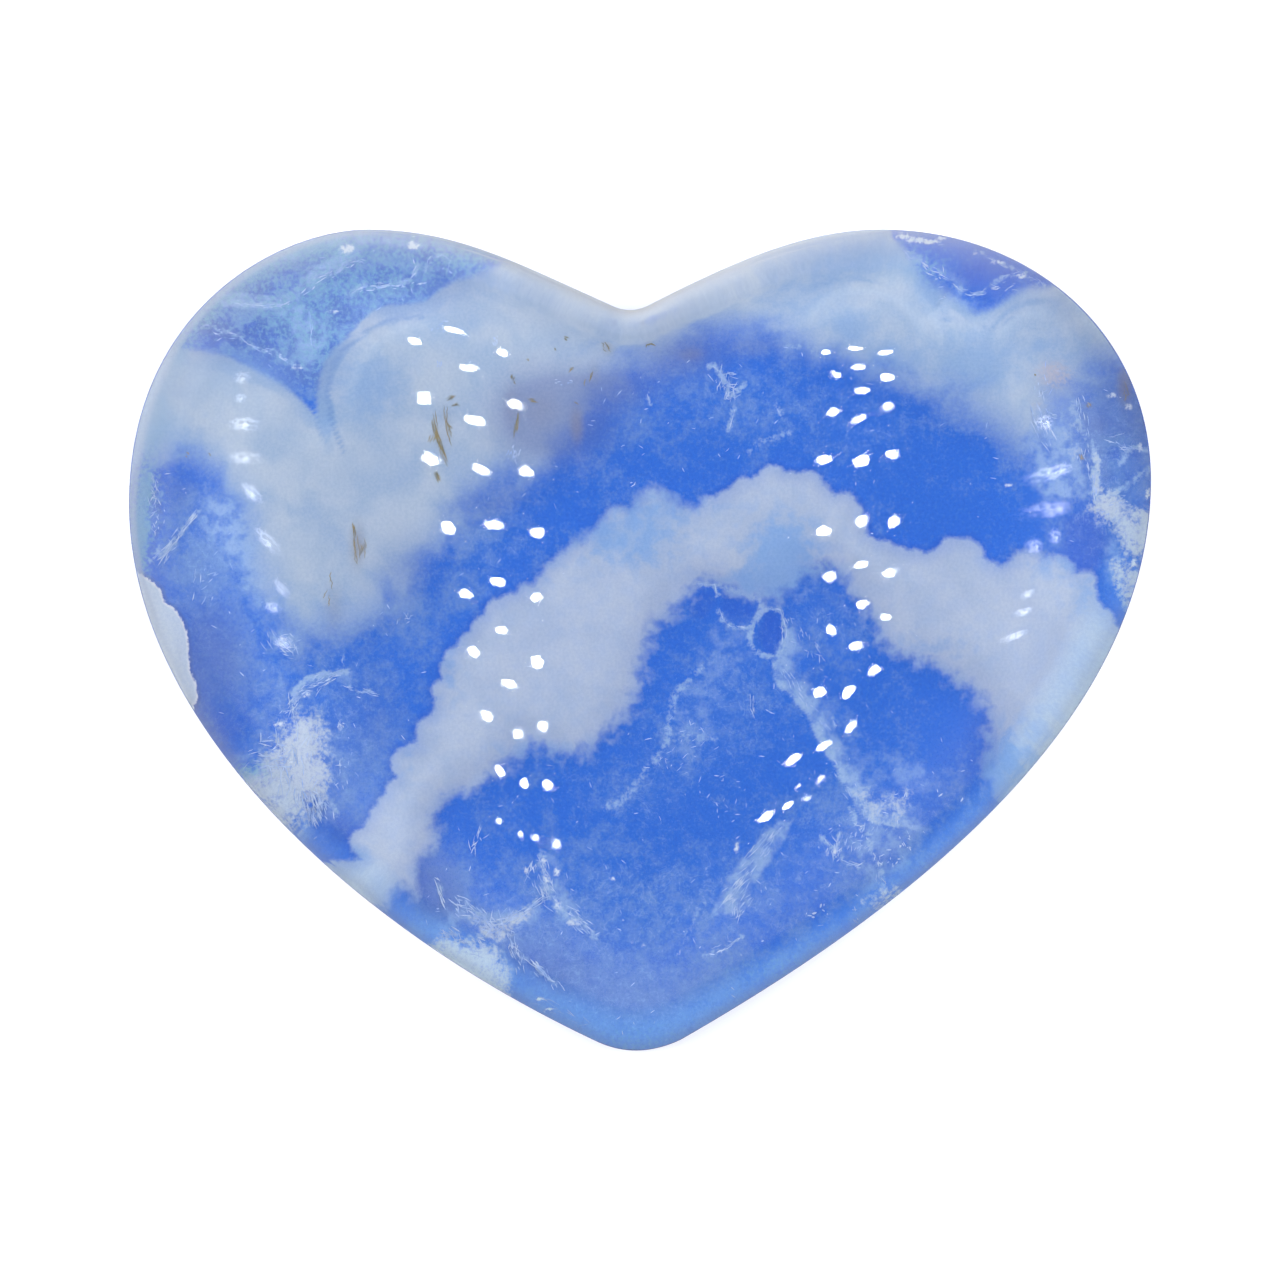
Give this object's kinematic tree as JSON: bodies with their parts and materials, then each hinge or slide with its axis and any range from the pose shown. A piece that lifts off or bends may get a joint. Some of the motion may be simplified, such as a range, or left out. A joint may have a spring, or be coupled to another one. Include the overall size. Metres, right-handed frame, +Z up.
{
  "type": "plume agate heart doublet",
  "caption": "Heart-shaped doublet for jewellery: a low domed cap of clear agate with milky plumes, cemented face to face on a flat blue stone backing. It lies on its flat back.",
  "frame": {"origin": "in the plane of the flat back, under the middle of the heart's outline box", "axes": "+X across the two lobes, to the right as seen from above; +Y from the tip towards the cleft; +Z up through the dome, out of the face"},
  "size_m": [0.03, 0.0241, 0.0057],
  "materials": {
    "clear_agate": "polished, clear with a faint milky blue tint and white plumes inside",
    "blue_stone": "cobalt blue stone, ground smooth, with a fine pale mottle",
    "milky_plume": "milky chalcedony plumes and haze, shut in the clear agate",
    "rusty_wisp": "fine rust-brown threads of iron oxide, shut in the clear agate"
  },
  "bodies": {
    "root": {"agate_cap": "clear_agate", "stone_backing": "blue_stone"}
  },
  "joints": []
}
